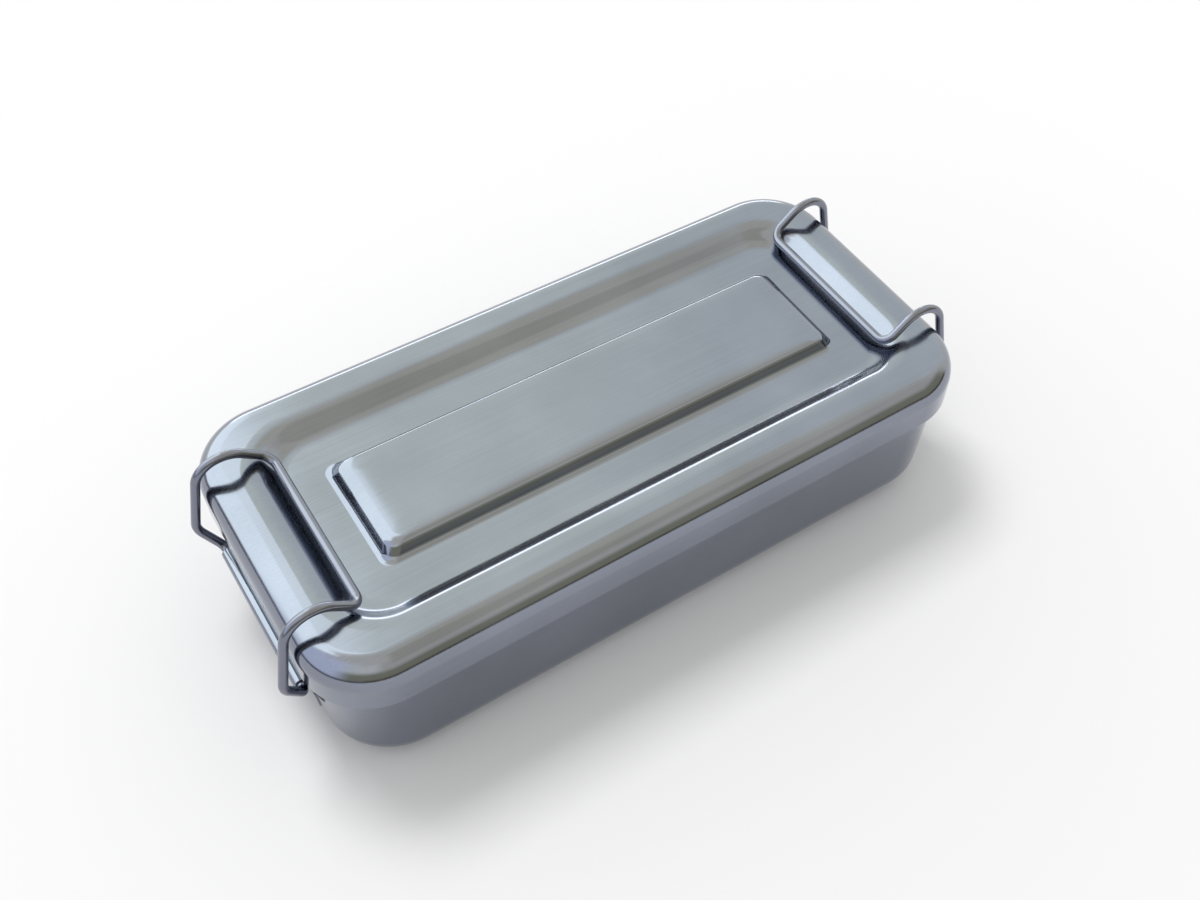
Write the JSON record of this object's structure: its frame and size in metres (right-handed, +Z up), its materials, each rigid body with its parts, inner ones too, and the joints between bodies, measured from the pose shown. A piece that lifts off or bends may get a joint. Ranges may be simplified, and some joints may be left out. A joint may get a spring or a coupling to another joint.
{
  "type": "instrument case",
  "caption": "Pressed stainless steel instrument case: a deep-drawn tray with a lift-off lid, held shut by wire bails that swing over the rim and lie in the lid's pressed valley.",
  "frame": {"origin": "middle of the case's underside, at table level", "axes": "+X along the length towards the right-hand bail, +Y towards the far long side, +Z up through the lid"},
  "size_m": [0.2118, 0.096, 0.0576],
  "materials": {
    "sheet_steel": "polished with a fine lengthwise grain",
    "wire_steel": "bright drawn wire"
  },
  "bodies": {
    "tray": {"base_tray": "sheet_steel", "left_hinge_bracket": "sheet_steel", "right_hinge_bracket": "sheet_steel"},
    "lid": {"lid": "sheet_steel"},
    "left_bail": {"left_bail": "wire_steel"},
    "right_bail": {"right_bail": "wire_steel"}
  },
  "joints": [
    {"name": "lid_lift", "type": "slide", "parent": "tray", "child": "lid", "axis": [0, 0, 1], "range_m": [0, 0.012]},
    {"name": "left_bail_hinge", "type": "hinge", "parent": "tray", "child": "left_bail", "pos_m": [-0.09989, 0, 0.024], "axis": [0, -1, 0], "range_deg": [0, 135]},
    {"name": "right_bail_hinge", "type": "hinge", "parent": "tray", "child": "right_bail", "pos_m": [0.09989, 0, 0.024], "axis": [0, 1, 0], "range_deg": [0, 135]}
  ],
  "couplings": [
    {"joint": "left_bail_hinge", "follows": "lid_lift", "rad_per_m": 196},
    {"joint": "right_bail_hinge", "follows": "lid_lift", "rad_per_m": 196}
  ]
}
